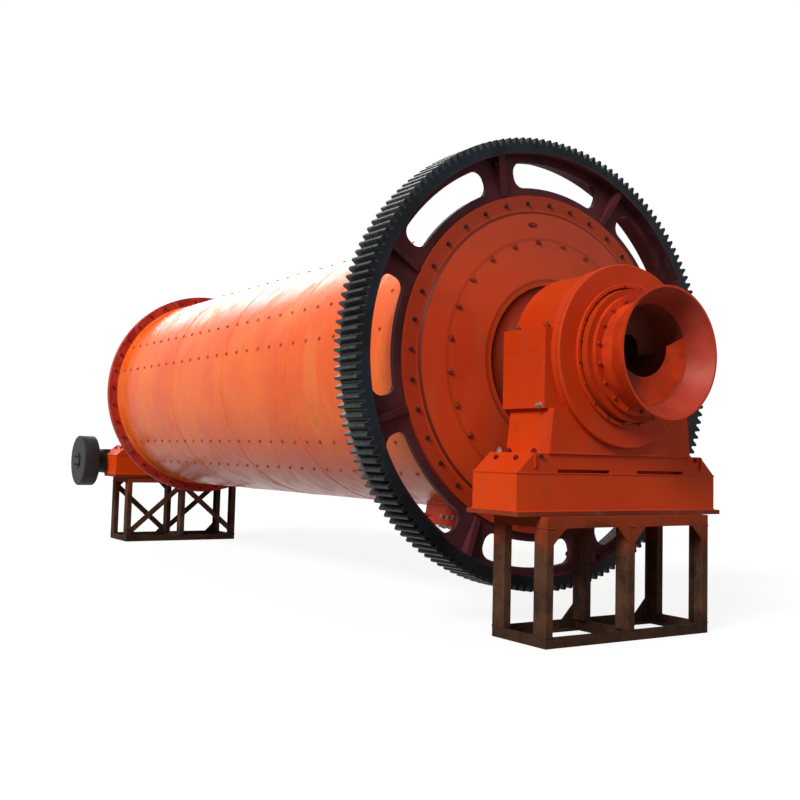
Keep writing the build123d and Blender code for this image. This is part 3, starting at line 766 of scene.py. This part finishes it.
def cap_and_sole_bolts(end):
    """Studs on the cap's shoulders, and nuts on the sole's top, slopes and front."""
    out = OUTWARD[end]
    top = reach(f"{end}_bearing_sole", 2, 1)
    shoulder = AXIS_Z + SHOULDER_ABOVE_AXIS
    caps = upright(end, CAP_STUDS, shoulder, stud(0.040, 0.020, 0.027, 0.026, 0.014))
    piece(f"{end}_cap_studs", caps, painted_steel, "stands")

    studs = [upright(end, SOLE_STUDS, top, stud(0.032, 0.016, 0.022, 0.021, 0.010))]
    slope = np.array([SOLE_DROP, SOLE_RUN]) / np.hypot(SOLE_DROP, SOLE_RUN)
    xs = [base_middle(end) + out * distance for distance in SLOPE_BOLTS[0]]
    seat = top - SOLE_DROP * SLOPE_BOLT_RUN / SOLE_RUN
    for side in (-1, 1):
        facing = (0, side * slope[0], slope[1])
        spots = places(grid(xs, (side * SLOPE_BOLTS[1],), (seat,)), facing, (1, 0, 0))
        studs.append(repeated(hexagon(0.028, 0.013, 0.018), spots))
    front = reach(f"{end}_bearing_sole", 0, out)
    spots = grid((front,), (-FRONT_BOLT_Y, FRONT_BOLT_Y), (top - FRONT_BOLT_DROP,))
    studs.append(repeated(hexagon(0.024, 0.012, 0.015), places(spots, (out, 0, 0), (0, 0, 1))))
    piece(f"{end}_sole_studs", together(*studs), primed_steel, "stands")


def ring_bolts(end):
    """Small bolts round the seal cover, and larger ones round the back ring."""
    out = OUTWARD[end]
    cover = reach(f"{end}_seal_cover", 0, out)
    back = reach(f"{end}_bearing_back_ring", 0, -out)
    small = COVER_BOLT_ANGLE + np.arange(COVER_BOLTS) * 360 / COVER_BOLTS
    large = RING_BOLT_ANGLE + np.arange(RING_BOLTS) * 360 / RING_BOLTS
    bolts = together(
        repeated(hexagon(0.013, 0.007, 0.009, 0.002), around(cover, COVER_BOLT_CIRCLE, small, out)),
        repeated(hexagon(0.024, 0.012, 0.016), around(back, RING_BOLT_CIRCLE, large, -out)),
    )
    piece(f"{end}_ring_bolts", bolts, painted_steel, "stands")


def plated_bolts(end):
    """Bright studs on the ledges of the pedestal's sides, and on the sole behind the others."""
    x = base_middle(end) + OUTWARD[end] * LEDGE_STUD_X
    spots = grid((x,), (-LEDGE_STUD_Y, LEDGE_STUD_Y), (LEDGE_STUD_Z,))
    ledge_places = places(spots, ((0, -1, 0), (0, 1, 0)), (1, 0, 0))
    ledge = repeated(stud(0.030, 0.018, 0.022, 0.020, 0.012), ledge_places)
    top = reach(f"{end}_bearing_sole", 2, 1)
    behind = upright(end, PLATED_SOLE_STUDS, top, stud(0.032, 0.018, 0.022, 0.020, 0.012))
    piece(f"{end}_plated_bolts", together(ledge, behind), zinc_plate, "stands")


def housing_welds(end):
    """Fillets along the foot of the base box, of the sole and of the pedestal.

    The pedestal's foot is inset from the sides of its bounding box, and set back from the box's end.
    """
    lines = []
    for part, size, inset, back in (
        ("base_box", 0.007, 0.0, 0.0),
        ("bearing_sole", 0.005, 0.0, 0.0),
        ("bearing_pedestal", 0.007, 0.010, 0.036),
    ):
        low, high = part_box(f"{end}_{part}")
        x0, x1 = (low.x + back, high.x) if OUTWARD[end] > 0 else (low.x, high.x - back)
        y0, y1 = low.y + inset, high.y - inset
        corners = np.array([(x0, y0, low.z), (x1, y0, low.z), (x1, y1, low.z), (x0, y1, low.z)])
        lines.append(beads(corners, np.roll(corners, -1, 0), size, rings=60))
    piece(f"{end}_housing_welds", together(*lines), housing_enamel, "stands")


def sole_lugs(end):
    """Small upright plates at both ends of the sole's front face, with rounded edges."""
    front = reach(f"{end}_bearing_sole", 0, OUTWARD[end])
    top = reach(f"{end}_bearing_sole", 2, 1)
    xs = sorted((front, front + OUTWARD[end] * LUG_THICKNESS))
    zs = [top - drop for drop in LUG_DROPS]
    faces = np.array([
        (0, 1, 3, 2), (4, 6, 7, 5), (0, 4, 5, 1), (2, 3, 7, 6), (0, 2, 6, 4), (1, 5, 7, 3),
    ])
    rows = [sorted(side * y for y in LUG_SIDES) for side in (-1, 1)]
    lugs = together(*((grid(xs, ys, zs), [faces]) for ys in rows))
    piece(f"{end}_sole_lugs", lugs, housing_enamel, "stands", smooth=False, edge=0.002)


def stand_welds(end):
    """Beads round the foot and the head of every column, and along two edges of each gusset."""
    low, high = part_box(f"{end}_stand_columns")
    starts, ends = [], []
    corner, middle = high.y - COLUMN_FLANGE, COLUMN_FLANGE / 2
    flanges = ((low.y, COLUMN_FLANGE), (-middle, COLUMN_FLANGE), (high.y, -COLUMN_FLANGE))
    for x, toward in ((low.x, 1), (high.x, -1)):
        for y, run in flanges:
            for z in (low.z, high.z):
                starts += [(x, y, z), (x, y, z)]
                ends += [(x, y + run, z), (x + toward * COLUMN_DEPTH, y, z)]
    feed_side = low.x + GUSSET_THICKNESS
    outer = high.x - GUSSET_THICKNESS if OUTWARD[end] > 0 else feed_side
    upper = ((-corner, 1), (-middle, -1), (middle, 1), (corner, -1))
    lower = ((-middle, -1), (corner, -1))
    for x, z, up, corners in ((outer, high.z, -1, upper), (feed_side, low.z, 1, lower)):
        for y, side in corners:
            starts += [(x, y, z), (x, y, z)]
            ends += [(x, y + side * GUSSET, z), (x, y, z + up * GUSSET)]
    welds = beads(starts, ends, 0.005, rings=14)
    piece(f"{end}_stand_welds", welds, stand_steel, "stands")


def wheel_details():
    """Four bolts on the end plate of the wheel's axle."""
    plate = reach("wheel_bracket", 1, -1)
    low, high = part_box("side_wheel")
    a = radians(45) + np.arange(PLATE_BOLTS)[:, None] * 2 * pi / PLATE_BOLTS
    middle = ((low.x + high.x) / 2, plate, (low.z + high.z) / 2)
    spots = middle + PLATE_BOLT_CIRCLE * (np.cos(a) * (1, 0, 0) + np.sin(a) * (0, 0, 1))
    bolts = repeated(hexagon(0.024, 0.012, 0.015), places(spots, (0, -1, 0), (1, 0, 0)))
    piece("wheel_plate_bolts", bolts, black_paint, "stands")


for end in OUTWARD:
    cap_and_sole_bolts(end)
    ring_bolts(end)
    plated_bolts(end)
    housing_welds(end)
    sole_lugs(end)
    stand_welds(end)
wheel_details()

# Camera: where the photographer stood, from a fit of the drum, the gear and the stands
YAW, PITCH, ROLL = radians(33.068), radians(4.102), radians(1.434)
FOCAL_PIXELS, PICTURE = 1042.59, 800
CENTRE_PIXEL = (404.75, 379.92)
STANDPOINT = (9.1194, -4.9915, 1.1618)
ahead = Vector((-cos(YAW) * cos(PITCH), sin(YAW) * cos(PITCH), sin(PITCH)))
level = ahead.cross(Vector((0, 0, 1))).normalized()
overhead = level.cross(ahead)
right = cos(ROLL) * level + sin(ROLL) * overhead
above = -sin(ROLL) * level + cos(ROLL) * overhead
lens = bpy.data.cameras.new("camera")
lens.sensor_width = 36
lens.lens = FOCAL_PIXELS * lens.sensor_width / PICTURE
lens.shift_x = (PICTURE / 2 - CENTRE_PIXEL[0]) / PICTURE
lens.shift_y = (CENTRE_PIXEL[1] - PICTURE / 2) / PICTURE
lens.clip_end = 200
camera = bpy.data.objects.new("camera", lens)
camera.matrix_world = Matrix((right, above, -ahead)).transposed().to_4x4()
camera.matrix_world.translation = STANDPOINT
bpy.context.scene.collection.objects.link(camera)
bpy.context.scene.camera = camera


# Light: an even pale sky, a broad soft sun from the side of the drum that the photograph shows, and
# a bright part of the sky behind the feed end
def by_ray(tree, on_object, seen):
    """One value for light on the object, and another for the camera's view, a reflection or glass."""
    kinds = ("Camera", "Glossy", "Transmission")
    camera_ray, glossy, through = (add(tree, "LightPath", {}, f"Is {kind} Ray") for kind in kinds)
    reflected = add(tree, "Math", {0: glossy, 1: through}, operation="MAXIMUM")
    direct = add(tree, "Math", {0: camera_ray, 1: reflected}, operation="MAXIMUM")
    return add(tree, "MapRange", {0: direct, 3: on_object, 4: seen})


world = bpy.data.worlds.new("sky")
world.use_nodes = True
sky = world.node_tree
sky.links.new(by_ray(sky, 0.35, 1.0), sky.nodes["Background"].inputs["Strength"])
sky.nodes["Background"].inputs["Color"].default_value = (1, 1, 1, 1)
bpy.context.scene.world = world

for name, strength, spread, toward in (
    ("sun", 3.0, 24, (0.31, -0.76, 0.57)),
    ("bright sky behind the feed end", 0.9, 30, (-0.88, 0.27, 0.38)),
):
    lamp = bpy.data.lights.new(name, "SUN")
    lamp.energy = strength
    lamp.angle = radians(spread)
    holder = bpy.data.objects.new(name, lamp)
    holder.rotation_euler = Vector(toward).to_track_quat("Z", "Y").to_euler()
    bpy.context.scene.collection.objects.link(holder)

bpy.ops.mesh.primitive_plane_add(size=240, location=(0, 0, 0))
floor = bpy.context.object
floor.name = "floor"
paper = bpy.data.materials.new("pale floor")
paper.use_nodes = True
tree = paper.node_tree
surface = tree.nodes["Principled BSDF"]
surface.inputs["Base Color"].default_value = (0.2, 0.2, 0.2, 1)
surface.inputs["Roughness"].default_value = 1.0
surface.inputs["Specular IOR Level"].default_value = 0.0
surface.inputs["Emission Color"].default_value = (1, 1, 1, 1)
tree.links.new(by_ray(tree, 0.0, 0.84), surface.inputs["Emission Strength"])
floor.data.materials.append(paper)

bpy.context.scene.view_settings.view_transform = "Standard"
